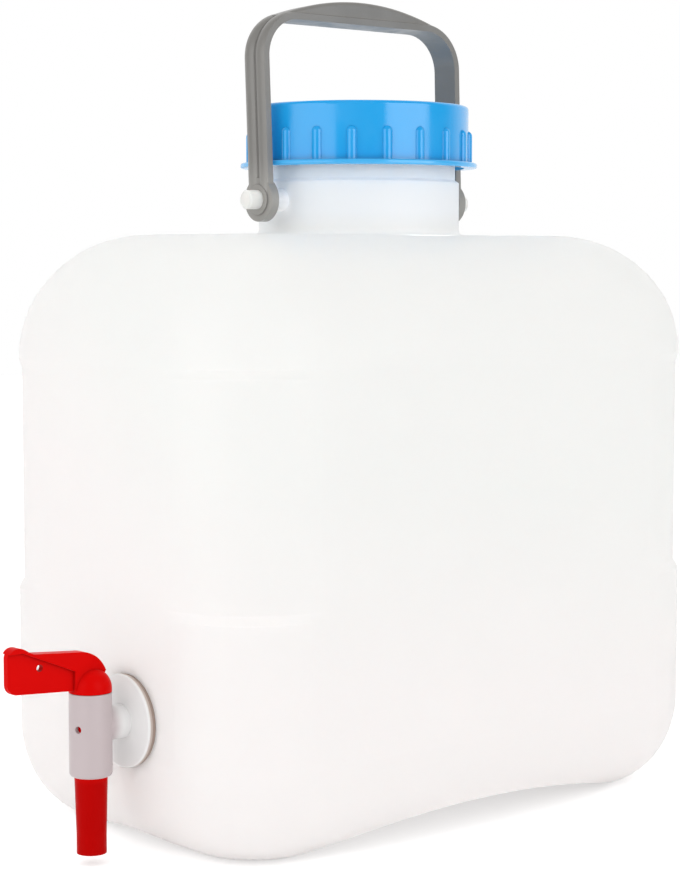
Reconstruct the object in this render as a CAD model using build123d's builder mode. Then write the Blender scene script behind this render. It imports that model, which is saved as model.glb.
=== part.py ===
from build123d import *
import math
import os

# Carboy with spigot: blow-moulded rectangular vessel, wide screw cap, bail handle and a lever tap.
# Millimetres. +Z up, +X along the long side away from the tap, Z = 0 under the feet.
# The origin is the middle of the whole object's plan, so the vessel stands off along +X
# by half of the tap's reach.

# ---- vessel ----
body_length = 366.0          # along X
body_width = 230.0           # along Y
shoulder_height = 328.0      # feet to the flat top of the shoulder
wall = 2.5                   # moulded wall
corner_radius = 50.0         # upright corners of the foot zone
shoulder_corner_radius = 52.5
waist_corner_radius = 57.0   # upright corners of the middle zone, set back from the others
waist_top = 259.0            # the set-back zone runs between these heights
waist_bottom = 129.9
ledge_height = 5.0           # sloping ledge at each end of the set-back zone
shoulder_run = 62.0          # how far the domed shoulder draws in on each side
shoulder_corner_loss = 0.55  # plan radius lost for each unit drawn in
dome_steps = 8               # sections through the domed shoulder
foot_rise = 53.0             # the foot zone draws in from here down
foot_run = 36.0              # how far it draws in on each side
foot_corner_loss = 0.6       # plan radius lost for each unit drawn in
foot_steps = 8
arch_height = 16.0           # arch of the base seen from the long side
arch_half_length = 130.0
side_arch_height = 6.5       # arch of the base seen from the short side
side_arch_half_length = 66.0

# ---- neck ----
neck_radius = 58.0
neck_step_height = 31.5      # above the shoulder
finish_radius = 55.75        # threaded part above the step
neck_wall = 3.2
neck_height = 69.3           # rim above the shoulder
neck_root_fillet = 3.0
step_chamfer = 1.5

# ---- lugs and pins that carry the handle ----
pivot_height = 19.4          # above the shoulder
lug_radius = 6.3
pin_radius = 5.3
pin_reach = 84.0             # from the neck's axis to the pin's tip
pin_tip_chamfer = 0.8
side_gap = 0.3               # lug face to eye
pin_clearance = 0.08         # radial, pin in eye

# ---- handle ----
flange_to_arm = 2.1          # cap flange to the arm's inner face
strap_thickness = 3.7
strap_ridge = 1.1            # rise of the two rounded ridges
strap_width = 17.4
strap_groove = 0.9           # half width of the groove between the ridges
grip_height = 119.9          # underside of the grip above the shoulder
bend_radius = 21.5           # inside of the bend
arm_splay = 0.8              # how far each arm leans out between the pivot and the grip
handle_lean = 2.1            # degrees, away from upright toward +Y
eye_radius = 12.15
eye_thickness = 5.0
eye_setback = 0.7            # eye's outer face behind the ridges of the strap
eye_collar_radius = 8.4
eye_collar_height = 1.0
crown_height = 8.4           # rise of the arched grip above the strap
crown_half_length = 59.0
crown_width = 16.4
crown_root = 0.6             # the crown starts this far above the underside of the grip
crown_fillet = 2.4

# ---- cap ----
cap_radius = 63.4
cap_wall = 2.4
cap_top_thickness = 2.5
cap_bottom_height = 38.5     # above the shoulder
cap_flange_radius = 68.4
cap_flange_thickness = 2.9
cap_edge_fillet = 2.2
rib_count = 20
rib_radius = 3.0
rib_rise = 2.1
rib_height = 18.5            # from the flange to the round end
rib_start_angle = 9.0
liner_thickness = 2.0
liner_clearance = 0.3        # liner edge to cap wall

# ---- tap ----
tap_height = 72.5            # stem axis above the feet
tap_offset = -24.0           # stem axis along Y
flange_radius = 24.8
flange_thickness = 2.5
gasket_radius = 24.3
gasket_thickness = 2.0
axis_to_flange = 19.4        # barrel axis to the flange's front face
barrel_radius = 11.25
barrel_bottom = -26.0        # from the stem axis
barrel_top = 18.0
barrel_edge_fillet = 2.0
boss_radius = 9.0            # neck between the barrel and the flange
stem_radius = 11.2
stem_hole_clearance = 0.3
stem_bore_radius = 5.0
stem_end_spare = 3.0
washer_radius = 17.0
washer_thickness = 2.0
nut_across_flats = 34.0
nut_thickness = 7.0
nut_clearance = 0.05         # radial, nut on stem
vent_radius = 1.9
vent_angle = 200.6           # about the barrel's axis
plug_radius = 8.7
plug_clearance = 0.06        # radial, plug in barrel
spout_tip_radius = 7.85
spout_tip_length = 10.0      # plain end that takes a tube
spout_end = -66.8            # from the stem axis
spout_bore_radius = 5.6
port_radius = 4.5
bore_end_spare = 1.5         # the spout's bore ends this far above the port
dome_gap = 0.3               # dome above the barrel's rim
dome_height = 12.6
dome_rim = 2.0               # straight rim under the dome
lever_reach = 51.2           # barrel axis to the lever's end
elbow_back = 7.6             # where the elbow leaves the dome, behind the axis
elbow_low = 10.9             # heights from here down are above the dome's underside
elbow_mid = 1.6
elbow_mid_height = 18.6
elbow_front = 8.8
lever_top_root = 22.0
lever_top_waist = 24.2
lever_top_bump = 28.2
bump_start = 35.5
bump_peak = 46.0
lever_end_low = 4.2
lever_end_radius = 5.5
lever_root_low = 1.2
paddle_hole_height = 16.4
lever_thickness = 7.0
paddle_thickness = 3.6       # between the panels sunk into the lever's two faces
panel_root = 11.5            # the panel's upright edge, from the barrel's axis
panel_root_height = 12.4     # the panel's corner under the slanting bar
panel_peak = 43.0            # the slanting bar runs out here, near the thumb bump
panel_peak_height = 25.4
paddle_hole_radius = 1.9
paddle_hole_reach = 32.0

# ---- places that follow from the sizes ----
face_x = -body_length / 2                                     # tap end of the vessel, from its own axis
barrel_x = face_x - gasket_thickness - flange_thickness - axis_to_flange
vessel_x = (lever_reach - barrel_x - body_length / 2) / 2     # vessel axis from the origin
tap_x = vessel_x + barrel_x                                   # barrel axis
wall_x = vessel_x + face_x                                    # outside of the wall at the tap
gasket_x = wall_x - gasket_thickness                          # back of the flange
flange_x = gasket_x - flange_thickness                        # front of the flange
inside_x = wall_x + wall                                      # inside of the wall at the tap
arm_inner = cap_flange_radius + flange_to_arm                 # handle arms from the neck's axis
arm_outer = arm_inner + strap_thickness
eye_outer = arm_outer + strap_ridge - eye_setback
eye_inner = eye_outer - eye_thickness
lug_face = eye_inner - side_gap                               # end of each lug, from the neck's axis
rim_z = shoulder_height + neck_height
cap_inner_top = rim_z + liner_thickness
cap_top_z = cap_inner_top + cap_top_thickness
cap_bottom_z = shoulder_height + cap_bottom_height
pivot_z = shoulder_height + pivot_height
grip_z = shoulder_height + grip_height
barrel_low_z = tap_height + barrel_bottom
barrel_high_z = tap_height + barrel_top
spout_z = tap_height + spout_end
dome_z = barrel_high_z + dome_gap
plug_bore_radius = plug_radius + plug_clearance
nut_x = inside_x + washer_thickness
stem_end_x = nut_x + nut_thickness + stem_end_spare
slice_overlap = 1.0          # how far joined forms run into each other


def vessel_form(inset):
    """The vessel's outer form drawn in by `inset` on every side, as a closed solid."""
    length = body_length - 2 * inset
    width = body_width - 2 * inset
    foot = corner_radius - inset
    upper = shoulder_corner_radius - inset
    waist = waist_corner_radius - inset
    run = shoulder_run - inset
    top = shoulder_height - inset
    with BuildPart() as form:
        # foot zone, drawn in underneath along a quarter ellipse
        for step in range(foot_steps + 1):
            angle = math.radians(90.0 * step / foot_steps)
            drawn = (foot_run - inset) * (1 - math.cos(angle))
            drop = (foot_rise - inset) * math.sin(angle)
            with BuildSketch(Plane.XY.offset(foot_rise - drop)):
                RectangleRounded(length - 2 * drawn, width - 2 * drawn, foot - foot_corner_loss * drawn)
        loft()
        with BuildSketch(Plane.XY.offset(foot_rise)):
            RectangleRounded(length, width, foot)
        extrude(amount=waist_bottom - foot_rise)
        # lower ledge, set-back zone, upper ledge
        with BuildSketch(Plane.XY.offset(waist_bottom)):
            RectangleRounded(length, width, foot)
        with BuildSketch(Plane.XY.offset(waist_bottom + ledge_height)):
            RectangleRounded(length, width, waist)
        loft()
        with BuildSketch(Plane.XY.offset(waist_bottom + ledge_height)):
            RectangleRounded(length, width, waist)
        extrude(amount=waist_top - waist_bottom - 2 * ledge_height)
        with BuildSketch(Plane.XY.offset(waist_top - ledge_height)):
            RectangleRounded(length, width, waist)
        with BuildSketch(Plane.XY.offset(waist_top)):
            RectangleRounded(length, width, upper)
        loft()
        # domed shoulder, drawn in along a quarter ellipse
        for step in range(dome_steps + 1):
            angle = math.radians(90.0 * step / dome_steps)
            drawn = run * (1 - math.cos(angle))
            rise = (top - waist_top) * math.sin(angle)
            with BuildSketch(Plane.XY.offset(waist_top + rise)):
                RectangleRounded(length - 2 * drawn, width - 2 * drawn, upper - shoulder_corner_loss * drawn)
        loft()
        # arched base: one arch along X and a lower one along Y
        with BuildSketch(Plane.XZ):
            with BuildLine():
                ThreePointArc(
                    (-arch_half_length, inset), (0, inset + arch_height), (arch_half_length, inset)
                )
                Polyline(
                    (arch_half_length, inset),
                    (arch_half_length, -arch_height),
                    (-arch_half_length, -arch_height),
                    (-arch_half_length, inset),
                )
            make_face()
        extrude(amount=body_width, both=True, mode=Mode.SUBTRACT)
        with BuildSketch(Plane.YZ):
            with BuildLine():
                Spline(
                    [
                        (-side_arch_half_length, inset),
                        (0, inset + side_arch_height),
                        (side_arch_half_length, inset),
                    ],
                    tangents=[(1, 0), (1, 0)],
                )
                Polyline(
                    (side_arch_half_length, inset),
                    (side_arch_half_length, -arch_height),
                    (-side_arch_half_length, -arch_height),
                    (-side_arch_half_length, inset),
                )
            make_face()
        extrude(amount=body_length, both=True, mode=Mode.SUBTRACT)
    return form.part.moved(Location((vessel_x, 0, 0)))


outer_form = vessel_form(0.0)
inner_form = vessel_form(wall)

os.makedirs("parts", exist_ok=True)

# ---- vessel: shell, neck, lugs, tap hole ----
with BuildPart() as vessel:
    add(outer_form)
    # neck turned about its own axis, with the step below the finish
    with BuildSketch(Plane.XZ):
        with BuildLine():
            RadiusArc(
                (vessel_x + neck_radius + neck_root_fillet, shoulder_height),
                (vessel_x + neck_radius, shoulder_height + neck_root_fillet),
                neck_root_fillet,
            )
            Polyline(
                (vessel_x + neck_radius, shoulder_height + neck_root_fillet),
                (vessel_x + neck_radius, shoulder_height + neck_step_height - step_chamfer),
                (vessel_x + finish_radius, shoulder_height + neck_step_height),
                (vessel_x + finish_radius, rim_z),
                (vessel_x, rim_z),
                (vessel_x, shoulder_height - slice_overlap),
                (vessel_x + neck_radius + neck_root_fillet, shoulder_height - slice_overlap),
                (vessel_x + neck_radius + neck_root_fillet, shoulder_height),
            )
        make_face()
    revolve(axis=Axis((vessel_x, 0, 0), (0, 0, 1)))
    # lugs and plain pins on both sides of the neck, turned about the pivot
    with BuildSketch(Plane.XZ):
        with BuildLine():
            Polyline(
                (vessel_x - pin_reach, pivot_z),
                (vessel_x - pin_reach, pivot_z + pin_radius - pin_tip_chamfer),
                (vessel_x - pin_reach + pin_tip_chamfer, pivot_z + pin_radius),
                (vessel_x - lug_face, pivot_z + pin_radius),
                (vessel_x - lug_face, pivot_z + lug_radius),
                (vessel_x + lug_face, pivot_z + lug_radius),
                (vessel_x + lug_face, pivot_z + pin_radius),
                (vessel_x + pin_reach - pin_tip_chamfer, pivot_z + pin_radius),
                (vessel_x + pin_reach, pivot_z + pin_radius - pin_tip_chamfer),
                (vessel_x + pin_reach, pivot_z),
                close=True,
            )
        make_face()
    revolve(axis=Axis((0, 0, pivot_z), (1, 0, 0)))
    # inside: the shell's hollow and the bore of the neck
    add(inner_form, mode=Mode.SUBTRACT)
    with BuildSketch(Plane.XY.offset(shoulder_height - 2 * wall)):
        with Locations((vessel_x, 0)):
            Circle(finish_radius - neck_wall)
    extrude(amount=neck_height + 2 * wall + slice_overlap, mode=Mode.SUBTRACT)
    # hole for the tap's stem
    with BuildSketch(Plane.YZ.offset(wall_x - slice_overlap)):
        with Locations((tap_offset, tap_height)):
            Circle(stem_radius + stem_hole_clearance)
    extrude(amount=wall + 2 * slice_overlap, mode=Mode.SUBTRACT)
vessel.part.label = "vessel"
export_step(vessel.part, "parts/vessel.step")

# ---- bail handle: arched crown of the grip ----
crown_end_z = grip_z + strap_thickness - strap_groove
with BuildPart() as crown:
    with BuildSketch(Plane.XZ):
        with BuildLine():
            ThreePointArc(
                (vessel_x - crown_half_length, crown_end_z),
                (vessel_x, grip_z + strap_thickness + strap_ridge + crown_height),
                (vessel_x + crown_half_length, crown_end_z),
            )
            Polyline(
                (vessel_x + crown_half_length, crown_end_z),
                (vessel_x + crown_half_length, grip_z + crown_root),
                (vessel_x - crown_half_length, grip_z + crown_root),
                (vessel_x - crown_half_length, crown_end_z),
            )
        make_face()
    extrude(amount=crown_width / 2, both=True)
    fillet(crown.edges().filter_by(GeomType.CIRCLE), crown_fillet)

# ---- bail handle: strap swept up one arm, over the grip and down the other ----
with BuildPart() as bail_handle:
    with BuildLine() as strap_path:
        FilletPolyline(
            (vessel_x - arm_inner, 0, pivot_z),
            (vessel_x - arm_inner - arm_splay, 0, grip_z),
            (vessel_x + arm_inner + arm_splay, 0, grip_z),
            (vessel_x + arm_inner, 0, pivot_z),
            radius=bend_radius,
        )
    # section: flat inside, two rounded ridges with a groove between them outside
    arm_way = (-arm_splay, 0, grip_z - pivot_z)
    arm_across = (pivot_z - grip_z, 0, -arm_splay)
    with BuildSketch(Plane(origin=(vessel_x - arm_inner, 0, pivot_z), x_dir=arm_across, z_dir=arm_way)):
        with BuildLine():
            half = strap_width / 2
            Polyline((strap_thickness, -half), (0, -half), (0, half), (strap_thickness, half))
            ThreePointArc(
                (strap_thickness, half),
                (strap_thickness + strap_ridge, (half + strap_groove) / 2),
                (strap_thickness, strap_groove),
            )
            Polyline(
                (strap_thickness, strap_groove),
                (strap_thickness - strap_groove, 0),
                (strap_thickness, -strap_groove),
            )
            ThreePointArc(
                (strap_thickness, -strap_groove),
                (strap_thickness + strap_ridge, -(half + strap_groove) / 2),
                (strap_thickness, -half),
            )
        make_face()
    sweep(path=strap_path.wires()[0])
    add(crown.part)
    # round eyes with a raised collar round each pin
    for side in (-1, 1):
        with BuildSketch(Plane.XZ):
            with BuildLine():
                Polyline(
                    (vessel_x + side * eye_inner, pivot_z),
                    (vessel_x + side * eye_inner, pivot_z + eye_radius),
                    (vessel_x + side * eye_outer, pivot_z + eye_radius),
                    (vessel_x + side * eye_outer, pivot_z + eye_collar_radius),
                    (vessel_x + side * (eye_outer + eye_collar_height), pivot_z + eye_collar_radius),
                    (vessel_x + side * (eye_outer + eye_collar_height), pivot_z),
                    close=True,
                )
            make_face()
        revolve(axis=Axis((0, 0, pivot_z), (1, 0, 0)))
    with BuildSketch(Plane.YZ.offset(vessel_x)):
        with Locations((0, pivot_z)):
            Circle(pin_radius + pin_clearance)
    extrude(amount=pin_reach, both=True, mode=Mode.SUBTRACT)
leaning_handle = bail_handle.part.rotate(Axis((0, 0, pivot_z), (1, 0, 0)), -handle_lean)
leaning_handle.label = "bail_handle"
export_step(leaning_handle, "parts/bail_handle.step")

# ---- screw cap ----
with BuildPart() as cap:
    with BuildSketch(Plane.XZ):
        with BuildLine():
            Polyline(
                (vessel_x, cap_inner_top),
                (vessel_x + cap_radius - cap_wall, cap_inner_top),
                (vessel_x + cap_radius - cap_wall, cap_bottom_z),
                (vessel_x + cap_flange_radius, cap_bottom_z),
                (vessel_x + cap_flange_radius, cap_bottom_z + cap_flange_thickness),
                (vessel_x + cap_radius, cap_bottom_z + cap_flange_thickness),
                (vessel_x + cap_radius, cap_top_z),
                (vessel_x, cap_top_z),
                close=True,
            )
        make_face()
    revolve(axis=Axis((vessel_x, 0, 0), (0, 0, 1)))
    rims = cap.edges().filter_by(GeomType.CIRCLE)
    fillet(rims.group_by(Axis.Z)[-1], cap_edge_fillet)
    flange_rims = [e for e in rims if abs(e.radius - cap_flange_radius) < 0.01]
    fillet(flange_rims, cap_flange_thickness * 0.4)
    # upright grip ribs with round ends
    with Locations((vessel_x, 0, cap_bottom_z + cap_flange_thickness / 2)):
        with PolarLocations(cap_radius + rib_rise - rib_radius, rib_count, start_angle=rib_start_angle):
            Cylinder(
                rib_radius,
                rib_height - rib_radius + cap_flange_thickness / 2,
                align=(Align.CENTER, Align.CENTER, Align.MIN),
            )
    with Locations((vessel_x, 0, cap_bottom_z + cap_flange_thickness + rib_height - rib_radius)):
        with PolarLocations(cap_radius + rib_rise - rib_radius, rib_count, start_angle=rib_start_angle):
            Sphere(rib_radius)
    # the hollow stays a clean bore
    with BuildSketch(Plane.XY.offset(cap_bottom_z)):
        with Locations((vessel_x, 0)):
            Circle(cap_radius - cap_wall)
    extrude(amount=cap_inner_top - cap_bottom_z, mode=Mode.SUBTRACT)
cap.part.label = "cap"
export_step(cap.part, "parts/cap.step")

with BuildPart() as cap_liner:
    with BuildSketch(Plane.XY.offset(rim_z)):
        with Locations((vessel_x, 0)):
            Circle(cap_radius - cap_wall - liner_clearance)
    extrude(amount=liner_thickness)
cap_liner.part.label = "cap_liner"
export_step(cap_liner.part, "parts/cap_liner.step")

# ---- tap body: barrel, neck, flange and threaded stem in one ----
with BuildPart() as tap_body:
    with BuildSketch(Plane.XY.offset(barrel_low_z)):
        with Locations((tap_x, tap_offset)):
            Circle(barrel_radius)
    extrude(amount=barrel_high_z - barrel_low_z)
    fillet(tap_body.edges().sort_by(Axis.Z)[0], barrel_edge_fillet)
    with BuildSketch(Plane.YZ.offset(tap_x)):
        with Locations((tap_offset, tap_height)):
            Circle(boss_radius)
    extrude(amount=flange_x - tap_x)
    with BuildSketch(Plane.YZ.offset(flange_x)):
        with Locations((tap_offset, tap_height)):
            Circle(flange_radius)
    extrude(amount=flange_thickness)
    with BuildSketch(Plane.YZ.offset(gasket_x)):
        with Locations((tap_offset, tap_height)):
            Circle(stem_radius)
    extrude(amount=stem_end_x - gasket_x)
    flange_rim = [
        e
        for e in tap_body.edges().filter_by(GeomType.CIRCLE)
        if abs(e.radius - flange_radius) < 0.01 and e.center().X < flange_x + 0.1
    ]
    fillet(flange_rim, flange_thickness * 0.4)
    # plug bore, stem bore and the vent hole
    with BuildSketch(Plane.XY.offset(barrel_low_z - slice_overlap)):
        with Locations((tap_x, tap_offset)):
            Circle(plug_bore_radius)
    extrude(amount=barrel_high_z - barrel_low_z + 2 * slice_overlap, mode=Mode.SUBTRACT)
    with BuildSketch(Plane.YZ.offset(tap_x)):
        with Locations((tap_offset, tap_height)):
            Circle(stem_bore_radius)
    extrude(amount=stem_end_x - tap_x + slice_overlap, mode=Mode.SUBTRACT)
    vent_direction = (math.cos(math.radians(vent_angle)), math.sin(math.radians(vent_angle)), 0)
    with BuildSketch(Plane(origin=(tap_x, tap_offset, tap_height), z_dir=vent_direction)):
        Circle(vent_radius)
    extrude(amount=barrel_radius + slice_overlap, mode=Mode.SUBTRACT)
tap_body.part.label = "tap_body"
export_step(tap_body.part, "parts/tap_body.step")

with BuildPart() as tap_gasket:
    with BuildSketch(Plane.YZ.offset(gasket_x)):
        with Locations((tap_offset, tap_height)):
            Circle(gasket_radius)
            Circle(stem_radius + stem_hole_clearance, mode=Mode.SUBTRACT)
    extrude(amount=gasket_thickness)
tap_gasket.part.label = "tap_gasket"
export_step(tap_gasket.part, "parts/tap_gasket.step")

with BuildPart() as tap_washer:
    with BuildSketch(Plane.YZ.offset(inside_x)):
        with Locations((tap_offset, tap_height)):
            Circle(washer_radius)
            Circle(stem_radius + stem_hole_clearance, mode=Mode.SUBTRACT)
    extrude(amount=washer_thickness)
tap_washer.part.label = "tap_washer"
export_step(tap_washer.part, "parts/tap_washer.step")

with BuildPart() as tap_nut:
    with BuildSketch(Plane.YZ.offset(nut_x)):
        with Locations((tap_offset, tap_height)):
            RegularPolygon(nut_across_flats / 2, 6, major_radius=False)
            Circle(stem_radius + nut_clearance, mode=Mode.SUBTRACT)
    extrude(amount=nut_thickness)
tap_nut.part.label = "tap_nut"
export_step(tap_nut.part, "parts/tap_nut.step")

# ---- red plug: spout, plug, dome and lever in one moulding ----
with BuildPart() as tap_plug:
    with BuildSketch(Plane.XZ.offset(-tap_offset)):
        with BuildLine():
            Polyline(
                (tap_x, spout_z),
                (tap_x + spout_tip_radius, spout_z),
                (tap_x + spout_tip_radius, spout_z + spout_tip_length),
                (tap_x + plug_radius, barrel_low_z),
                (tap_x + plug_radius, dome_z),
                (tap_x + barrel_radius, dome_z),
                (tap_x + barrel_radius, dome_z + dome_rim),
            )
            ThreePointArc(
                (tap_x + barrel_radius, dome_z + dome_rim),
                (
                    tap_x + barrel_radius * math.sqrt(0.5),
                    dome_z + dome_rim + (dome_height - dome_rim) * math.sqrt(0.5),
                ),
                (tap_x, dome_z + dome_height),
            )
            Line((tap_x, dome_z + dome_height), (tap_x, spout_z))
        make_face()
    revolve(axis=Axis((tap_x, tap_offset, 0), (0, 0, 1)))
    # lever outline: elbow over the dome, slightly rising bar, thumb bump and rounded end
    with BuildSketch(Plane.XZ.offset(-tap_offset)):
        with BuildLine():
            Line((tap_x, dome_z), (tap_x + elbow_back, dome_z + elbow_low))
            ThreePointArc(
                (tap_x + elbow_back, dome_z + elbow_low),
                (tap_x + elbow_mid, dome_z + elbow_mid_height),
                (tap_x - elbow_front, dome_z + lever_top_root),
            )
            Line(
                (tap_x - elbow_front, dome_z + lever_top_root),
                (tap_x - bump_start, dome_z + lever_top_waist),
            )
            Spline(
                (tap_x - bump_start, dome_z + lever_top_waist),
                (tap_x - bump_peak, dome_z + lever_top_bump),
                tangents=[(-1, 0.12), (-1, 0)],
            )
            ThreePointArc(
                (tap_x - bump_peak, dome_z + lever_top_bump),
                (
                    tap_x - lever_reach + (lever_reach - bump_peak) * (1 - math.sqrt(0.5)),
                    dome_z + lever_top_bump - (lever_reach - bump_peak) * (1 - math.sqrt(0.5)),
                ),
                (tap_x - lever_reach, dome_z + lever_top_bump - (lever_reach - bump_peak)),
            )
            Line(
                (tap_x - lever_reach, dome_z + lever_top_bump - (lever_reach - bump_peak)),
                (tap_x - lever_reach, dome_z + lever_end_low + lever_end_radius),
            )
            ThreePointArc(
                (tap_x - lever_reach, dome_z + lever_end_low + lever_end_radius),
                (
                    tap_x - lever_reach + lever_end_radius * (1 - math.sqrt(0.5)),
                    dome_z + lever_end_low + lever_end_radius * (1 - math.sqrt(0.5)),
                ),
                (tap_x - lever_reach + lever_end_radius, dome_z + lever_end_low),
            )
            Line(
                (tap_x - lever_reach + lever_end_radius, dome_z + lever_end_low),
                (tap_x, dome_z + lever_root_low),
            )
            Line((tap_x, dome_z + lever_root_low), (tap_x, dome_z))
        make_face()
    extrude(amount=lever_thickness / 2, both=True)
    # flat panels sunk below the slanting bar on both faces
    for face_side in (-1, 1):
        panel_plane = Plane.XZ.offset(-tap_offset + face_side * paddle_thickness / 2)
        with BuildSketch(panel_plane):
            with BuildLine():
                Polyline(
                    (tap_x - panel_root, dome_z - slice_overlap),
                    (tap_x - panel_root, dome_z + panel_root_height),
                    (tap_x - panel_peak, dome_z + panel_peak_height),
                    (tap_x - lever_reach - slice_overlap, dome_z + panel_peak_height),
                    (tap_x - lever_reach - slice_overlap, dome_z - slice_overlap),
                    close=True,
                )
            make_face()
        extrude(amount=face_side * lever_thickness, mode=Mode.SUBTRACT)
    # bore down the spout and the cross port that meets the stem when the lever is turned
    with BuildSketch(Plane.XY.offset(spout_z - slice_overlap)):
        with Locations((tap_x, tap_offset)):
            Circle(spout_bore_radius)
    extrude(amount=tap_height + port_radius + bore_end_spare - spout_z + slice_overlap, mode=Mode.SUBTRACT)
    with BuildSketch(Plane.XZ.offset(-tap_offset)):
        with Locations((tap_x, tap_height)):
            Circle(port_radius)
    extrude(amount=plug_radius + slice_overlap, mode=Mode.SUBTRACT)
    # hole through the paddle
    with BuildSketch(Plane.XZ.offset(-tap_offset)):
        with Locations((tap_x - paddle_hole_reach, dome_z + paddle_hole_height)):
            Circle(paddle_hole_radius)
    extrude(amount=lever_thickness, both=True, mode=Mode.SUBTRACT)
tap_plug.part.label = "tap_plug"
export_step(tap_plug.part, "parts/tap_plug.step")
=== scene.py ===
import math

import bpy
from bpy.props import FloatProperty, FloatVectorProperty, PointerProperty
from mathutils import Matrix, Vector


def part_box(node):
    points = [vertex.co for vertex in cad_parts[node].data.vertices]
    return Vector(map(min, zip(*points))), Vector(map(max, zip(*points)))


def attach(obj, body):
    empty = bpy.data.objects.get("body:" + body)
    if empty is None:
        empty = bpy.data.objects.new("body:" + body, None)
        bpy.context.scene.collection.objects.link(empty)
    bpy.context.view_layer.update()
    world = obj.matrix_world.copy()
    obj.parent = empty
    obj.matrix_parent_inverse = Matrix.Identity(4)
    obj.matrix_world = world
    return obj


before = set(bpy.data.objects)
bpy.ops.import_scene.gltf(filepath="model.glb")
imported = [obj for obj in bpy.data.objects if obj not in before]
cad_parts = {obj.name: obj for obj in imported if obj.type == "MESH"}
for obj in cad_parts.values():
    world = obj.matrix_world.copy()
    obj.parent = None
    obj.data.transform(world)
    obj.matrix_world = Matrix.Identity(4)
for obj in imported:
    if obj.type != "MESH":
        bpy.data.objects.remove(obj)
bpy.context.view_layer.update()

# Carboy with spigot: finishes for the moulded pieces, the screw thread on the neck, and a plain
# studio.
# Metres, in the frame of the CAD model: +Z up, +X away from the tap, floor at Z = 0.

bl_info = {
    "name": "Carboy with spigot",
    "version": (1, 0, 0),
    "blender": (4, 5, 0),
    "location": "3D View > Sidebar > Carboy",
    "description": "Finishes a carboy, its cap, handle and lever tap, and sets a plain studio",
    "category": "Object",
}

# the camera: where it stands, its turn from +Y, its downward tip, and its lens in millimetres
EYE_PLACE = (-0.80331, -0.95208, 0.31548)
EYE_TURN = math.radians(40.961)
EYE_TIP = math.radians(4.679)
EYE_LENS = 90.031
EYE_WAY = (math.sin(EYE_TURN), math.cos(EYE_TURN))

# the lamps: distance from the point they aim at, and that point's height
LAMP_DISTANCE = 1.6
LAMP_AIM_HEIGHT = 0.22


def corner(node, index):
    """Lowest (0) or highest (1) corner of a CAD piece."""
    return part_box(node)[index]


CAP_AXIS = (corner("cap", 0) + corner("cap", 1)) / 2
RIM_HEIGHT = corner("vessel", 1).z

# places on the neck, measured down from its rim or out from its axis
THREAD_DROP = 0.0275
THREAD_ROOT = 0.05555
THREAD_START = math.radians(20)
# painted light on the neck fades in between these drops below the rim
NECK_LIGHT_DROPS = (0.070, 0.056)
# painted shade on the pins fades in between these reaches from the neck's axis
PIN_SHADE_REACHES = (0.0715, 0.0725)

# where the wall's warmer tone ends: heights along a tilted upward direction
WARM_SLOPE = (0.1, -0.7, 1.0)
WARM_HEIGHTS = (0.16, 0.27)

# tones of the tap: in front of its sealing ring, and either side of it
BARREL_TONE_DROPS = (0.014, 0.006)
RING_TONE_SPREADS = (0.0008, 0.0020)

# how open a place is for the painted crevice shade, from a full crevice to plain surface
CREVICE_OPENNESS = (0.45, 0.92)


# ---------------------------------------------------------------- settings

class CarboyColours(bpy.types.PropertyGroup):
    """Colours of the moulded pieces."""

    vessel: FloatVectorProperty(
        name="Vessel", description="Natural white wall of the vessel", subtype="COLOR",
        size=3, min=0, max=1, default=(0.895, 0.896, 0.879))
    vessel_low: FloatVectorProperty(
        name="Vessel, lower wall", description="Warmer tone of the wall low down",
        subtype="COLOR", size=3, min=0, max=1, default=(0.925, 0.893, 0.884))
    # painted light: paler and bluer than the wall's own plastic, for the cap's blue bounce and to
    # lift the shade under the cap
    neck: FloatVectorProperty(
        name="Neck", description="Cooler tone of the neck", subtype="COLOR",
        size=3, min=0, max=1, default=(0.915, 0.935, 0.955))
    # painted shade: the pins are the wall's own plastic, made greyer and darker
    pins: FloatVectorProperty(
        name="Pins", description="Tone of the pins that carry the handle", subtype="COLOR",
        size=3, min=0, max=1, default=(0.80, 0.80, 0.775))
    cap: FloatVectorProperty(
        name="Cap", description="Blue of the screw cap", subtype="COLOR",
        size=3, min=0, max=1, default=(0.012, 0.39, 0.86))
    # painted light: the thin flange runs paler, for light through its thin plastic and the
    # highlight along its edge
    lit_cap_flange: FloatVectorProperty(
        name="Cap flange", description="Paler blue of the cap's thin flange", subtype="COLOR",
        size=3, min=0, max=1, default=(0.06, 0.47, 0.92))
    handle: FloatVectorProperty(
        name="Handle", description="Grey of the bail handle", subtype="COLOR",
        size=3, min=0, max=1, default=(0.222, 0.215, 0.203))
    tap: FloatVectorProperty(
        name="Tap body", description="Natural colour of the tap's flange, stem and nut",
        subtype="COLOR", size=3, min=0, max=1, default=(0.87, 0.865, 0.86))
    barrel: FloatVectorProperty(
        name="Tap barrel", description="Tone of the barrel, with the red plug showing through",
        subtype="COLOR", size=3, min=0, max=1, default=(0.56, 0.48, 0.49))
    lever: FloatVectorProperty(
        name="Lever", description="Red of the lever, plug and spout", subtype="COLOR",
        size=3, min=0, max=1, default=(0.69, 0.0008, 0.0003))
    flange_rim: FloatVectorProperty(
        name="Flange rim", description="Tone of the rim, with the sealing ring showing through",
        subtype="COLOR", size=3, min=0, max=1, default=(0.56, 0.47, 0.42))
    gasket: FloatVectorProperty(
        name="Gasket", description="Beige of the sealing rings", subtype="COLOR",
        size=3, min=0, max=1, default=(0.38, 0.29, 0.245))
    liner: FloatVectorProperty(
        name="Cap liner", description="White of the seal disc in the cap", subtype="COLOR",
        size=3, min=0, max=1, default=(0.85, 0.85, 0.83))


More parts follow.
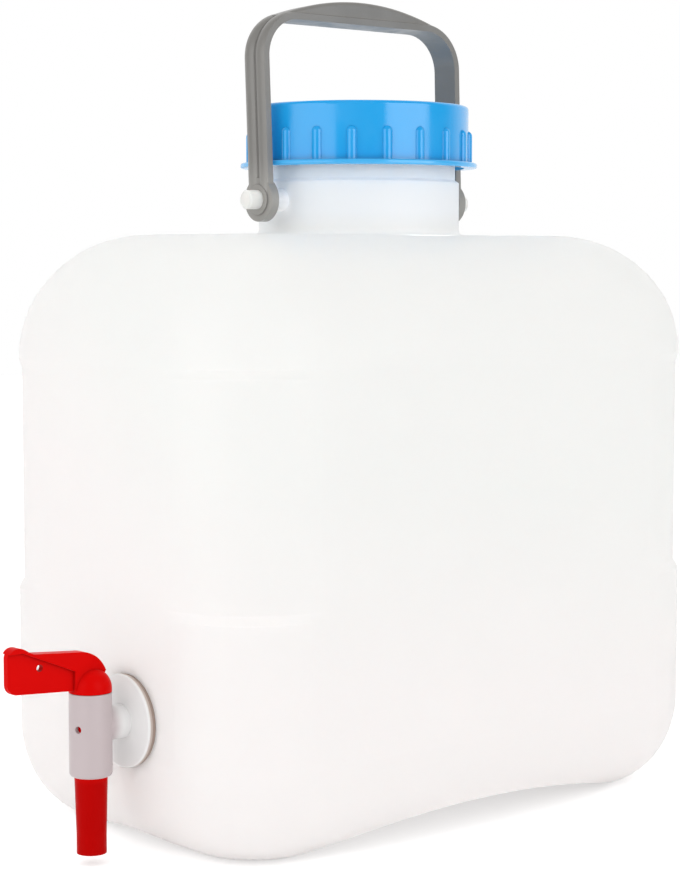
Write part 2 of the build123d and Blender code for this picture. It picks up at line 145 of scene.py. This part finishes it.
class CarboySizes(bpy.types.PropertyGroup):
    """Sizes of the parts that are added to the CAD model."""

    thread_lead: FloatProperty(
        name="Thread lead", description="Rise of the neck's thread in one turn", unit="LENGTH",
        min=0.004, max=0.02, default=0.012)
    thread_turns: FloatProperty(
        name="Thread turns", description="Turns of the neck's thread", min=0.5, max=3.0,
        default=1.75)
    thread_rise: FloatProperty(
        name="Thread height", description="How far the thread stands off the neck", unit="LENGTH",
        min=0.001, max=0.005, default=0.0032)
    thread_width: FloatProperty(
        name="Thread width", description="Width of the thread at its root", unit="LENGTH",
        min=0.001, max=0.01, default=0.0046)


class CarboyStage(bpy.types.PropertyGroup):
    """Studio settings."""

    sky: FloatProperty(
        name="Sky", description="Strength of the even light all round", min=0, default=0.87)
    dark: FloatProperty(
        name="Dark surroundings", description="Strength of what gloss mirrors", min=0,
        default=0.10)
    left_power: FloatProperty(
        name="Left power", description="Power of the softbox on the left", min=0, default=2.3)
    right_power: FloatProperty(
        name="Right power", description="Power of the softbox on the right", min=0, default=1.2)
    left_gloss: FloatProperty(
        name="Left gloss", description="Power of the left panel, which only gloss mirrors", min=0,
        default=11.0)
    right_gloss: FloatProperty(
        name="Right gloss", description="Power of the right panel, which only gloss mirrors",
        min=0, default=18.0)
    top_power: FloatProperty(
        name="Top power", description="Power of the softbox overhead", min=0, default=2.3)
    floor: FloatVectorProperty(
        name="Floor", description="Colour of the floor", subtype="COLOR",
        size=3, min=0, max=1, default=(0.9, 0.9, 0.9))
    floor_glow: FloatProperty(
        name="Floor glow", description="Light the floor gives back to the pieces above it", min=0,
        default=0.16)
    floor_lift: FloatProperty(
        name="Floor lift", description="Light added to the floor as the camera sees it", min=0,
        default=0.37)


# ---------------------------------------------------------------- helpers

def settings(kind):
    return getattr(bpy.context.scene, "carboy_" + kind)


def clear_selection():
    if bpy.context.object and bpy.context.object.mode != "OBJECT":
        bpy.ops.object.mode_set(mode="OBJECT")
    bpy.ops.object.select_all(action="DESELECT")


def finish_piece(piece, body, material):
    """Place the piece in its mesh, give it its finish and let it ride on its body."""
    clear_selection()
    piece.select_set(True)
    bpy.context.view_layer.objects.active = piece
    bpy.ops.object.transform_apply(location=True, rotation=True, scale=True)
    piece.data.materials.clear()
    piece.data.materials.append(material)
    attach(piece, body)
    return piece


def dress(node, material):
    """Give a CAD piece its finish."""
    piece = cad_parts[node]
    piece.data.materials.clear()
    piece.data.materials.append(material)
    return piece


def node_at(tree, kind, x, y, **values):
    node = tree.nodes.new(kind)
    node.location = (x, y)
    for name, value in values.items():
        setattr(node, name, value)
    return node


def object_axes(tree, x, y):
    """The piece's own coordinates, whole and split into X, Y and Z."""
    place = node_at(tree, "ShaderNodeTexCoord", x, y)
    split = node_at(tree, "ShaderNodeSeparateXYZ", x + 180, y)
    tree.links.new(place.outputs["Object"], split.inputs["Vector"])
    return place.outputs["Object"], split.outputs


def ramp(tree, value, low, high, x, y, start=0.0, end=1.0, smooth=False):
    """Run from `start` to `end` as the value goes from `low` to `high`."""
    kind = "SMOOTHSTEP" if smooth else "LINEAR"
    node = node_at(tree, "ShaderNodeMapRange", x, y, interpolation_type=kind)
    ends = {"From Min": low, "From Max": high, "To Min": start, "To Max": end}
    for title, number in ends.items():
        node.inputs[title].default_value = number
    tree.links.new(value, node.inputs["Value"])
    return node.outputs["Result"]


def distance_from(tree, value, middle, x, y):
    """How far the value is from `middle`, on either side."""
    away = node_at(tree, "ShaderNodeMath", x, y, operation="SUBTRACT")
    away.inputs[1].default_value = middle
    tree.links.new(value, away.inputs[0])
    size = node_at(tree, "ShaderNodeMath", x + 160, y, operation="ABSOLUTE")
    tree.links.new(away.outputs["Value"], size.inputs[0])
    return size.outputs["Value"]


def mixed(tree, share, first, second, x, y):
    """Mix two colours, each a plain colour or a socket, by the share of the second."""
    node = node_at(tree, "ShaderNodeMix", x, y, data_type="RGBA")
    tree.links.new(share, node.inputs["Factor"])
    for title, colour in (("A", first), ("B", second)):
        if isinstance(colour, bpy.types.NodeSocket):
            tree.links.new(colour, node.inputs[title])
        else:
            node.inputs[title].default_value = (*colour, 1)
    return node.outputs["Result"]


def new_group(name, inputs, outputs):
    """A shader node group with named sockets and their default values."""
    group = bpy.data.node_groups.new(name, "ShaderNodeTree")
    for title, kind, default in inputs:
        socket = group.interface.new_socket(name=title, in_out="INPUT", socket_type=kind)
        if default is not None:
            socket.default_value = default
    for title, kind in outputs:
        group.interface.new_socket(name=title, in_out="OUTPUT", socket_type=kind)
    start = node_at(group, "NodeGroupInput", -900, 0)
    end = node_at(group, "NodeGroupOutput", 700, 0)
    return group, start, end


def moulded_surface():
    """Soft tone drift, fine grain and handling marks of moulded plastic."""
    name = "moulded_surface"
    if name in bpy.data.node_groups:
        return bpy.data.node_groups[name]
    group, start, end = new_group(
        name,
        [
            ("Color", "NodeSocketColor", (0.5, 0.5, 0.5, 1)),
            ("Drift", "NodeSocketFloat", 0.03),
            ("Drift Scale", "NodeSocketFloat", 9.0),
            ("Grain Scale", "NodeSocketFloat", 900.0),
            ("Grain", "NodeSocketFloat", 0.25),
            ("Roughness", "NodeSocketFloat", 0.35),
            ("Rub", "NodeSocketFloat", 0.08),
            ("Rub Scale", "NodeSocketFloat", 40.0),
        ],
        [
            ("Color", "NodeSocketColor"),
            ("Roughness", "NodeSocketFloat"),
            ("Height", "NodeSocketFloat"),
        ],
    )
    link = group.links.new
    place = node_at(group, "ShaderNodeTexCoord", -900, -320)
    drift = node_at(group, "ShaderNodeTexNoise", -620, 260)
    drift.inputs["Detail"].default_value = 2.0
    link(place.outputs["Object"], drift.inputs["Vector"])
    link(start.outputs["Drift Scale"], drift.inputs["Scale"])
    swing = node_at(group, "ShaderNodeMapRange", -420, 260)
    swing.inputs["To Min"].default_value = -1.0
    link(drift.outputs["Fac"], swing.inputs["Value"])
    amount = node_at(group, "ShaderNodeMath", -220, 260, operation="MULTIPLY_ADD")
    amount.inputs[2].default_value = 1.0
    link(swing.outputs["Result"], amount.inputs[0])
    link(start.outputs["Drift"], amount.inputs[1])
    tone = node_at(group, "ShaderNodeVectorMath", 0, 200, operation="SCALE")
    link(start.outputs["Color"], tone.inputs[0])
    link(amount.outputs["Value"], tone.inputs["Scale"])
    link(tone.outputs["Vector"], end.inputs["Color"])

    rub = node_at(group, "ShaderNodeTexNoise", -620, -40)
    rub.inputs["Detail"].default_value = 5.0
    rub.inputs["Distortion"].default_value = 0.4
    link(place.outputs["Object"], rub.inputs["Vector"])
    link(start.outputs["Rub Scale"], rub.inputs["Scale"])
    marks = node_at(group, "ShaderNodeMapRange", -420, -40)
    marks.inputs["From Min"].default_value = 0.38
    marks.inputs["From Max"].default_value = 0.66
    marks.inputs["To Min"].default_value = -1.0
    link(rub.outputs["Fac"], marks.inputs["Value"])
    matt = node_at(group, "ShaderNodeMath", -220, -40, operation="MULTIPLY_ADD")
    link(marks.outputs["Result"], matt.inputs[0])
    link(start.outputs["Rub"], matt.inputs[1])
    link(start.outputs["Roughness"], matt.inputs[2])
    link(matt.outputs["Value"], end.inputs["Roughness"])

    grain = node_at(group, "ShaderNodeTexNoise", -620, -340)
    grain.inputs["Detail"].default_value = 3.0
    link(place.outputs["Object"], grain.inputs["Vector"])
    link(start.outputs["Grain Scale"], grain.inputs["Scale"])
    height = node_at(group, "ShaderNodeMath", -220, -340, operation="MULTIPLY")
    link(grain.outputs["Fac"], height.inputs[0])
    link(start.outputs["Grain"], height.inputs[1])
    link(height.outputs["Value"], end.inputs["Height"])
    return group


def wall_waves():
    """Long shallow waves of a blow-moulded wall, and its parting line."""
    name = "wall_waves"
    if name in bpy.data.node_groups:
        return bpy.data.node_groups[name]
    group, start, end = new_group(
        name,
        [
            ("Wave Scale", "NodeSocketFloat", 7.0),
            ("Wave", "NodeSocketFloat", 1.0),
            ("Line Width", "NodeSocketFloat", 0.0006),
            ("Line", "NodeSocketFloat", 0.12),
        ],
        [("Height", "NodeSocketFloat")],
    )
    link = group.links.new
    place = node_at(group, "ShaderNodeTexCoord", -900, -300)
    waves = node_at(group, "ShaderNodeTexNoise", -600, 200)
    waves.inputs["Detail"].default_value = 1.0
    link(place.outputs["Object"], waves.inputs["Vector"])
    link(start.outputs["Wave Scale"], waves.inputs["Scale"])
    soft = node_at(group, "ShaderNodeMath", -380, 200, operation="MULTIPLY")
    link(waves.outputs["Fac"], soft.inputs[0])
    link(start.outputs["Wave"], soft.inputs[1])
    split = node_at(group, "ShaderNodeSeparateXYZ", -700, -200)
    link(place.outputs["Object"], split.inputs["Vector"])
    away = node_at(group, "ShaderNodeMath", -520, -200, operation="ABSOLUTE")
    link(split.outputs["Y"], away.inputs[0])
    ridge = node_at(group, "ShaderNodeMapRange", -340, -200, interpolation_type="SMOOTHSTEP")
    ridge.inputs["To Min"].default_value = 1.0
    ridge.inputs["To Max"].default_value = 0.0
    link(away.outputs["Value"], ridge.inputs["Value"])
    link(start.outputs["Line Width"], ridge.inputs["From Max"])
    line = node_at(group, "ShaderNodeMath", -120, -200, operation="MULTIPLY_ADD")
    link(ridge.outputs["Result"], line.inputs[0])
    link(start.outputs["Line"], line.inputs[1])
    link(soft.outputs["Value"], line.inputs[2])
    link(line.outputs["Value"], end.inputs["Height"])
    return group


def plastic(name, color, drift=0.03, drift_scale=9.0, grain_scale=900.0, grain=0.2, roughness=0.35,
            rub=0.06, rub_scale=40.0, bump=0.12, depth=0.0004, coat=0.0, coat_roughness=0.1,
            subsurface=0.0, subsurface_depth=0.004, specular=0.5):
    """A moulded plastic: one Principled shader fed by the moulded surface group."""
    material = bpy.data.materials.new(name)
    material.use_nodes = True
    tree = material.node_tree
    shader = tree.nodes["Principled BSDF"]
    shader.location = (300, 0)
    tree.nodes["Material Output"].location = (620, 0)
    shader.inputs["IOR"].default_value = 1.5
    shader.inputs["Specular IOR Level"].default_value = specular
    shader.inputs["Coat Weight"].default_value = coat
    shader.inputs["Coat Roughness"].default_value = coat_roughness
    shader.subsurface_method = "BURLEY"
    shader.inputs["Subsurface Weight"].default_value = subsurface
    shader.inputs["Subsurface Scale"].default_value = subsurface_depth
    shader.inputs["Subsurface Radius"].default_value = (1.0, 0.85, 0.8)
    surface = node_at(tree, "ShaderNodeGroup", -100, 0)
    surface.node_tree = moulded_surface()
    surface.name = "surface"
    for title, value in (
        ("Color", (*color, 1.0)), ("Drift", drift), ("Drift Scale", drift_scale),
        ("Grain Scale", grain_scale), ("Grain", grain), ("Roughness", roughness),
        ("Rub", rub), ("Rub Scale", rub_scale),
    ):
        surface.inputs[title].default_value = value
    tree.links.new(surface.outputs["Color"], shader.inputs["Base Color"])
    tree.links.new(surface.outputs["Roughness"], shader.inputs["Roughness"])
    raised = node_at(tree, "ShaderNodeBump", 100, -260)
    raised.name = "raised"
    raised.inputs["Strength"].default_value = bump
    raised.inputs["Distance"].default_value = depth
    tree.links.new(surface.outputs["Height"], raised.inputs["Height"])
    tree.links.new(raised.outputs["Normal"], shader.inputs["Normal"])
    return material


def vessel_plastic():
    """Natural polyethylene: near white, warmer low down, gently waved, with painted light that
    makes the neck paler and bluer and painted shade that darkens the pins.
    """
    colours = settings("colours")
    material = plastic(
        "natural_polyethylene", colours.vessel, drift=0.008, drift_scale=5.0, grain_scale=700.0,
        grain=0.25, roughness=0.46, rub=0.04, rub_scale=18.0, bump=0.08, specular=0.25,
        subsurface=1.0, subsurface_depth=0.009)
    tree = material.node_tree
    link = tree.links.new
    place, axes = object_axes(tree, -1300, 200)
    slope = node_at(tree, "ShaderNodeVectorMath", -1120, 380, operation="DOT_PRODUCT")
    slope.inputs[1].default_value = WARM_SLOPE
    link(place, slope.inputs[0])
    warm = ramp(tree, slope.outputs["Value"], *WARM_HEIGHTS, -940, 380)
    wall = mixed(tree, warm, colours.vessel_low, colours.vessel, -760, 380)
    # painted light on the neck: paler and bluer above the drops
    low, high = (RIM_HEIGHT - drop for drop in NECK_LIGHT_DROPS)
    neck_light = ramp(tree, axes["Z"], low, high, -940, 60)
    tone = mixed(tree, neck_light, wall, colours.neck, -560, 260)
    # painted shade on the pins, which stand out past the eyes of the handle
    reach = distance_from(tree, axes["X"], CAP_AXIS.x, -940, -220)
    outer = ramp(tree, reach, *PIN_SHADE_REACHES, -600, -220)
    pin_shade = node_at(tree, "ShaderNodeMath", -420, -60, operation="MULTIPLY")
    link(outer, pin_shade.inputs[0])
    link(neck_light, pin_shade.inputs[1])
    tone = mixed(tree, pin_shade.outputs["Value"], tone, colours.pins, -260, 160)
    link(tone, tree.nodes["surface"].inputs["Color"])
    waves = node_at(tree, "ShaderNodeGroup", -340, -420)
    waves.node_tree = wall_waves()
    swell = node_at(tree, "ShaderNodeBump", -100, -420)
    swell.inputs["Strength"].default_value = 0.25
    swell.inputs["Distance"].default_value = 0.0012
    link(waves.outputs["Height"], swell.inputs["Height"])
    link(swell.outputs["Normal"], tree.nodes["raised"].inputs["Normal"])
    return material


def tone_by_height(material, low_color, color, low, high):
    """Run from one colour below `low` to the other above `high`."""
    tree = material.node_tree
    _, axes = object_axes(tree, -900, 200)
    height = ramp(tree, axes["Z"], low, high, -560, 200, smooth=True)
    tone = mixed(tree, height, low_color, color, -340, 200)
    tree.links.new(tone, tree.nodes["surface"].inputs["Color"])


def scaled(color, share):
    return tuple(share * part for part in color)


def crevice_shade(material, share, reach):
    """Paint shade into grooves and inner edges: darken the colour down to `share`, `reach` wide."""
    tree = material.node_tree
    base = tree.nodes["Principled BSDF"].inputs["Base Color"]
    colour = base.links[0].from_socket
    hollow = node_at(tree, "ShaderNodeAmbientOcclusion", -340, 520, samples=8, only_local=True)
    hollow.inputs["Distance"].default_value = reach
    depth = ramp(tree, hollow.outputs["AO"], *CREVICE_OPENNESS, -140, 520, start=share)
    shaded = node_at(tree, "ShaderNodeVectorMath", 60, 420, operation="SCALE")
    tree.links.new(colour, shaded.inputs[0])
    tree.links.new(depth, shaded.inputs["Scale"])
    tree.links.new(shaded.outputs["Vector"], base)


def pale_bounce(material, color):
    """Light the pieces near this one with a paler colour than its own."""
    tree = material.node_tree
    base = tree.nodes["Principled BSDF"].inputs["Base Color"]
    path = node_at(tree, "ShaderNodeLightPath", -100, 320)
    tone = mixed(tree, path.outputs["Is Diffuse Ray"], base.links[0].from_socket, color, 100, 200)
    tree.links.new(tone, base)


def tap_plastic():
    """Natural plastic of the tap: pale at the flange, toned by the plug in the barrel."""
    colours = settings("colours")
    material = plastic(
        "tap_natural_plastic", colours.tap, drift=0.03, drift_scale=60.0, grain_scale=1500.0,
        grain=0.4, roughness=0.34, rub=0.06, rub_scale=90.0, bump=0.10, depth=0.0003)
    tree = material.node_tree
    _, axes = object_axes(tree, -1100, 200)
    ring_low, ring_high = corner("tap_gasket", 0).x, corner("tap_gasket", 1).x
    low, high = (ring_low - drop for drop in BARREL_TONE_DROPS)
    along = ramp(tree, axes["X"], low, high, -560, 200, smooth=True)
    tone = mixed(tree, along, colours.barrel, colours.tap, -380, 200)
    # the sealing ring shows through the back of the flange's rim
    near = distance_from(tree, axes["X"], (ring_low + ring_high) / 2, -900, -60)
    half = (ring_high - ring_low) / 2
    start, end = (half + spread for spread in RING_TONE_SPREADS)
    shown = ramp(tree, near, start, end, -560, -60, start=1.0, end=0.0, smooth=True)
    rim = mixed(tree, shown, tone, colours.flange_rim, -240, 200)
    tree.links.new(rim, tree.nodes["surface"].inputs["Color"])
    return material


def thread_profile(name, radius, height, reach, width):
    """An upright trapezoid beside the axis: the thread's section at its start."""
    clear_selection()
    bpy.ops.mesh.primitive_plane_add(size=1.0, location=(0, 0, 0))
    profile = bpy.context.object
    profile.name = name
    corners = [
        Vector((radius, 0, height - width / 2)),
        Vector((radius + reach, 0, height - width / 4)),
        Vector((radius, 0, height + width / 2)),
        Vector((radius + reach, 0, height + width / 4)),
    ]
    order = sorted(profile.data.vertices, key=lambda v: (v.co.y, v.co.x))
    for vertex, place in zip(order, corners):
        vertex.co = place
    return profile


def helical_thread(name, radius, start_height, reach, width, lead, turns, phase):
    """A thread ridge: its section carried round the neck by a Screw modifier, with tapered ends."""
    profile = thread_profile(name, radius, start_height, reach, width)
    profile.rotation_euler = (0, 0, phase)
    clear_selection()
    profile.select_set(True)
    bpy.context.view_layer.objects.active = profile
    bpy.ops.object.transform_apply(location=False, rotation=True, scale=False)
    screw = profile.modifiers.new("screw", "SCREW")
    screw.angle = 2 * math.pi * turns
    screw.screw_offset = lead * turns
    screw.steps = screw.render_steps = int(72 * turns)
    screw.use_merge_vertices = False
    bpy.ops.object.modifier_apply(modifier="screw")
    # both ends run out into the wall
    run_out = 0.35
    for vertex in profile.data.vertices:
        angle = math.atan2(vertex.co.y, vertex.co.x) - phase
        along = (vertex.co.z - start_height) / (lead * turns)
        near_end = min(max(along, 0.0), max(1.0 - along, 0.0)) * turns * 2 * math.pi
        share = min(1.0, max(0.0, near_end / run_out))
        distance = math.hypot(vertex.co.x, vertex.co.y)
        if distance > radius + reach * 0.5 or distance < radius - abs(reach) * 0.5:
            wanted = radius + reach * max(share, 0.05)
            vertex.co.x *= wanted / distance
            vertex.co.y *= wanted / distance
    bpy.ops.object.mode_set(mode="EDIT")
    bpy.ops.mesh.select_all(action="SELECT")
    bpy.ops.mesh.remove_doubles(threshold=0.00001)
    bpy.ops.mesh.select_all(action="DESELECT")
    bpy.ops.mesh.select_non_manifold()
    bpy.ops.mesh.fill()
    bpy.ops.mesh.select_all(action="SELECT")
    bpy.ops.mesh.normals_make_consistent(inside=False)
    bpy.ops.object.mode_set(mode="OBJECT")
    bpy.ops.object.shade_smooth_by_angle(angle=math.radians(30))
    profile.location = (CAP_AXIS.x, CAP_AXIS.y, 0)
    return profile


# ---------------------------------------------------------------- pieces

class CARBOY_OT_vessel(bpy.types.Operator):
    """Finish the blow-moulded vessel and add the thread on its neck"""

    bl_idname = "carboy.vessel"
    bl_label = "Vessel"

    def execute(self, context):
        sizes = settings("sizes")
        natural = vessel_plastic()
        dress("vessel", natural)
        thread = helical_thread(
            "neck_thread", THREAD_ROOT, RIM_HEIGHT - THREAD_DROP, sizes.thread_rise,
            sizes.thread_width, sizes.thread_lead, sizes.thread_turns, THREAD_START)
        finish_piece(thread, "vessel", natural)
        return {"FINISHED"}


class CARBOY_OT_handle(bpy.types.Operator):
    """Finish the bail handle"""

    bl_idname = "carboy.handle"
    bl_label = "Bail handle"

    def execute(self, context):
        colour, eye_low = settings("colours").handle, corner("bail_handle", 0).z
        grey = plastic(
            "handle_polypropylene", colour, drift=0.05, drift_scale=22.0, grain_scale=1500.0,
            grain=0.5, roughness=0.36, rub=0.08, rub_scale=60.0, bump=0.16, depth=0.0003)
        # painted light: the arms run paler towards the eyes at their lower ends
        tone_by_height(grey, scaled(colour, 1.6), colour, eye_low + 0.008, eye_low + 0.040)
        crevice_shade(grey, 0.55, 0.003)
        pale_bounce(grey, (0.8, 0.8, 0.8))
        dress("bail_handle", grey)
        return {"FINISHED"}


class CARBOY_OT_cap(bpy.types.Operator):
    """Finish the screw cap and its seal disc"""

    bl_idname = "carboy.cap"
    bl_label = "Screw cap"

    def execute(self, context):
        colours = settings("colours")
        blue = plastic(
            "cap_polypropylene", colours.cap, drift=0.03, drift_scale=18.0, grain_scale=1200.0,
            grain=0.3, roughness=0.20, rub=0.06, rub_scale=45.0, bump=0.08, depth=0.0003, coat=0.3,
            coat_roughness=0.12)
        # painted light: the cap runs to a paler blue on its flange, low down
        flange_low = corner("cap", 0).z
        tone_by_height(
            blue, colours.lit_cap_flange, colours.cap, flange_low + 0.0025, flange_low + 0.0045)
        crevice_shade(blue, 0.7, 0.004)
        dress("cap", blue)
        foam = plastic(
            "liner_foam", colours.liner, drift=0.03, grain_scale=2600.0, grain=1.0, roughness=0.75,
            rub=0.05, bump=0.3, depth=0.0003)
        dress("cap_liner", foam)
        return {"FINISHED"}


class CARBOY_OT_tap(bpy.types.Operator):
    """Finish the tap: body, rings, nut and the red lever with its spout"""

    bl_idname = "carboy.tap"
    bl_label = "Lever tap"

    def execute(self, context):
        colours = settings("colours")
        natural = tap_plastic()
        for node in ("tap_body", "tap_nut"):
            dress(node, natural)
        rubber = plastic(
            "gasket_rubber", colours.gasket, drift=0.08, drift_scale=70.0, grain_scale=2200.0,
            grain=0.8, roughness=0.62, rub=0.08, rub_scale=120.0, bump=0.25, depth=0.0003)
        for node in ("tap_gasket", "tap_washer"):
            dress(node, rubber)
        red = plastic(
            "lever_red_plastic", colours.lever, drift=0.05, drift_scale=45.0, grain_scale=1600.0,
            grain=0.35, roughness=0.34, rub=0.06, rub_scale=90.0, bump=0.10, depth=0.0003,
            specular=0.03)
        # painted shade: the spout below the barrel darkens to 70 % of the red
        barrel_low = corner("tap_body", 0).z
        tone_by_height(
            red, scaled(colours.lever, 0.70), colours.lever, barrel_low - 0.004, barrel_low + 0.002)
        crevice_shade(red, 0.55, 0.006)
        pale_bounce(red, (0.8, 0.62, 0.6))
        dress("tap_plug", red)
        return {"FINISHED"}


# ---------------------------------------------------------------- studio

def white_for_the_camera(tree, strength):
    """A white glow, and the rays that see it: the camera's, and those through clear plastic."""
    glow = node_at(tree, "ShaderNodeEmission", -200, -200)
    glow.inputs["Strength"].default_value = strength
    path = node_at(tree, "ShaderNodeLightPath", -600, 300)
    seen = node_at(tree, "ShaderNodeMath", -400, 300, operation="ADD", use_clamp=True)
    tree.links.new(path.outputs["Is Camera Ray"], seen.inputs[0])
    tree.links.new(path.outputs["Is Transmission Ray"], seen.inputs[1])
    return glow, seen.outputs["Value"]


class CARBOY_OT_stage(bpy.types.Operator):
    """Set the floor, the lights, the surroundings and the camera"""

    bl_idname = "carboy.stage"
    bl_label = "Studio"

    def execute(self, context):
        look = settings("stage")
        self.floor(look)
        self.surroundings(look)
        self.lamps(look)
        self.camera()
        scene = context.scene
        scene.view_settings.view_transform = "Standard"
        return {"FINISHED"}

    def floor(self, look):
        clear_selection()
        bpy.ops.mesh.primitive_plane_add(size=8.0, location=(0, 0, -0.0002))
        floor = context_object("studio_floor")
        material = bpy.data.materials.new("studio_floor")
        material.use_nodes = True
        tree = material.node_tree
        tree.nodes.remove(tree.nodes["Principled BSDF"])
        out = tree.nodes["Material Output"]
        matt = node_at(tree, "ShaderNodeBsdfDiffuse", -200, 0)
        matt.inputs["Color"].default_value = (*look.floor, 1)
        glow, seen = white_for_the_camera(tree, look.floor_lift)
        given = node_at(tree, "ShaderNodeEmission", -200, -400)
        given.inputs["Strength"].default_value = look.floor_glow
        bounced = node_at(tree, "ShaderNodeAddShader", 0, 100)
        added = node_at(tree, "ShaderNodeAddShader", 0, -100)
        for both, light in ((bounced, given), (added, glow)):
            tree.links.new(matt.outputs["BSDF"], both.inputs[0])
            tree.links.new(light.outputs["Emission"], both.inputs[1])
        mix = node_at(tree, "ShaderNodeMixShader", 160, 0)
        tree.links.new(seen, mix.inputs["Fac"])
        tree.links.new(bounced.outputs["Shader"], mix.inputs[1])
        tree.links.new(added.outputs["Shader"], mix.inputs[2])
        tree.links.new(mix.outputs["Shader"], out.inputs["Surface"])
        floor.data.materials.append(material)

    def surroundings(self, look):
        world = bpy.data.worlds.new("studio")
        bpy.context.scene.world = world
        world.use_nodes = True
        tree = world.node_tree
        out = tree.nodes["World Output"]
        even = tree.nodes["Background"]
        even.inputs["Color"].default_value = (1.0, 1.0, 1.0, 1.0)
        even.inputs["Strength"].default_value = look.sky
        white = node_at(tree, "ShaderNodeBackground", 0, -200)
        white.inputs["Color"].default_value = (1.0, 1.0, 1.0, 1.0)
        white.inputs["Strength"].default_value = 1.0
        # gloss sees a dark room on the camera's side and the white backdrop on the far side
        room = node_at(tree, "ShaderNodeBackground", 0, -400)
        room.inputs["Color"].default_value = (1.0, 1.0, 1.0, 1.0)
        way = node_at(tree, "ShaderNodeTexCoord", -800, -400)
        along = node_at(tree, "ShaderNodeVectorMath", -600, -400, operation="DOT_PRODUCT")
        along.inputs[1].default_value = (*EYE_WAY, 0.0)
        tree.links.new(way.outputs["Generated"], along.inputs[0])
        backdrop = node_at(tree, "ShaderNodeMapRange", -400, -400, interpolation_type="SMOOTHSTEP")
        backdrop.inputs["From Min"].default_value = 0.1
        backdrop.inputs["From Max"].default_value = 0.7
        backdrop.inputs["To Min"].default_value = look.dark
        backdrop.inputs["To Max"].default_value = 1.0
        tree.links.new(along.outputs["Value"], backdrop.inputs["Value"])
        tree.links.new(backdrop.outputs["Result"], room.inputs["Strength"])
        path = node_at(tree, "ShaderNodeLightPath", -200, 300)
        mirrored = node_at(tree, "ShaderNodeMixShader", 200, -100)
        tree.links.new(path.outputs["Is Glossy Ray"], mirrored.inputs["Fac"])
        tree.links.new(even.outputs["Background"], mirrored.inputs[1])
        tree.links.new(room.outputs["Background"], mirrored.inputs[2])
        mix = node_at(tree, "ShaderNodeMixShader", 400, 0)
        tree.links.new(path.outputs["Is Camera Ray"], mix.inputs["Fac"])
        tree.links.new(mirrored.outputs["Shader"], mix.inputs[1])
        tree.links.new(white.outputs["Background"], mix.inputs[2])
        out.location = (600, 0)
        tree.links.new(mix.outputs["Shader"], out.inputs["Surface"])

    def lamps(self, look):
        aim = Vector((CAP_AXIS.x, 0, LAMP_AIM_HEIGHT))
        for name, azimuth, elevation, width, height, power, only_gloss in (
            ("softbox_left", -89.0, 20.0, 1.4, 1.2, look.left_power, False),
            ("softbox_right", 10.5, 20.0, 1.4, 1.2, look.right_power, False),
            ("softbox_top", -41.0, 75.0, 1.4, 1.4, look.top_power, False),
            ("gloss_left", -89.0, 12.0, 1.42, 1.5, look.left_gloss, True),
            ("gloss_right", 10.5, 12.0, 1.42, 1.5, look.right_gloss, True),
        ):
            lamp = bpy.data.lights.new(name, "AREA")
            lamp.shape = "RECTANGLE"
            lamp.size = width
            lamp.size_y = height
            lamp.energy = power
            holder = bpy.data.objects.new(name, lamp)
            bpy.context.scene.collection.objects.link(holder)
            turn, lift = math.radians(azimuth), math.radians(elevation)
            level = math.cos(lift)
            way = Vector((math.sin(turn) * level, -math.cos(turn) * level, math.sin(lift)))
            holder.location = aim + way * LAMP_DISTANCE
            holder.rotation_euler = way.to_track_quat("Z", "Y").to_euler()
            holder.visible_camera = False
            holder.visible_diffuse = not only_gloss
            holder.visible_glossy = only_gloss

    def camera(self):
        view = bpy.data.cameras.new("camera")
        view.sensor_width = 36.0
        view.lens = EYE_LENS
        eye = bpy.data.objects.new("camera", view)
        bpy.context.scene.collection.objects.link(eye)
        eye.location = EYE_PLACE
        eye.rotation_euler = (math.pi / 2 - EYE_TIP, 0.0, -EYE_TURN)
        bpy.context.scene.camera = eye


def context_object(name):
    piece = bpy.context.object
    piece.name = name
    return piece


# ---------------------------------------------------------------- panel and registration

class CARBOY_PT_panel(bpy.types.Panel):
    """The pieces of the carboy and its studio"""

    bl_idname = "CARBOY_PT_panel"
    bl_label = "Carboy with spigot"
    bl_space_type = "VIEW_3D"
    bl_region_type = "UI"
    bl_category = "Carboy"

    def draw(self, context):
        layout = self.layout
        for operator in PIECES:
            layout.operator(operator.bl_idname)
        for kind, group in SETTINGS.items():
            box = layout.box()
            for name in group.__annotations__:
                box.prop(settings(kind), name)


SETTINGS = {"colours": CarboyColours, "sizes": CarboySizes, "stage": CarboyStage}
PIECES = (CARBOY_OT_vessel, CARBOY_OT_handle, CARBOY_OT_cap, CARBOY_OT_tap, CARBOY_OT_stage)
CLASSES = (*SETTINGS.values(), *PIECES, CARBOY_PT_panel)


def register():
    for kind in CLASSES:
        bpy.utils.register_class(kind)
    for kind, group in SETTINGS.items():
        setattr(bpy.types.Scene, "carboy_" + kind, PointerProperty(type=group))


def unregister():
    for kind in SETTINGS:
        delattr(bpy.types.Scene, "carboy_" + kind)
    for kind in reversed(CLASSES):
        bpy.utils.unregister_class(kind)


def main():
    register()
    bpy.ops.carboy.vessel()
    bpy.ops.carboy.handle()
    bpy.ops.carboy.cap()
    bpy.ops.carboy.tap()
    bpy.ops.carboy.stage()


if __name__ == "__main__":
    main()
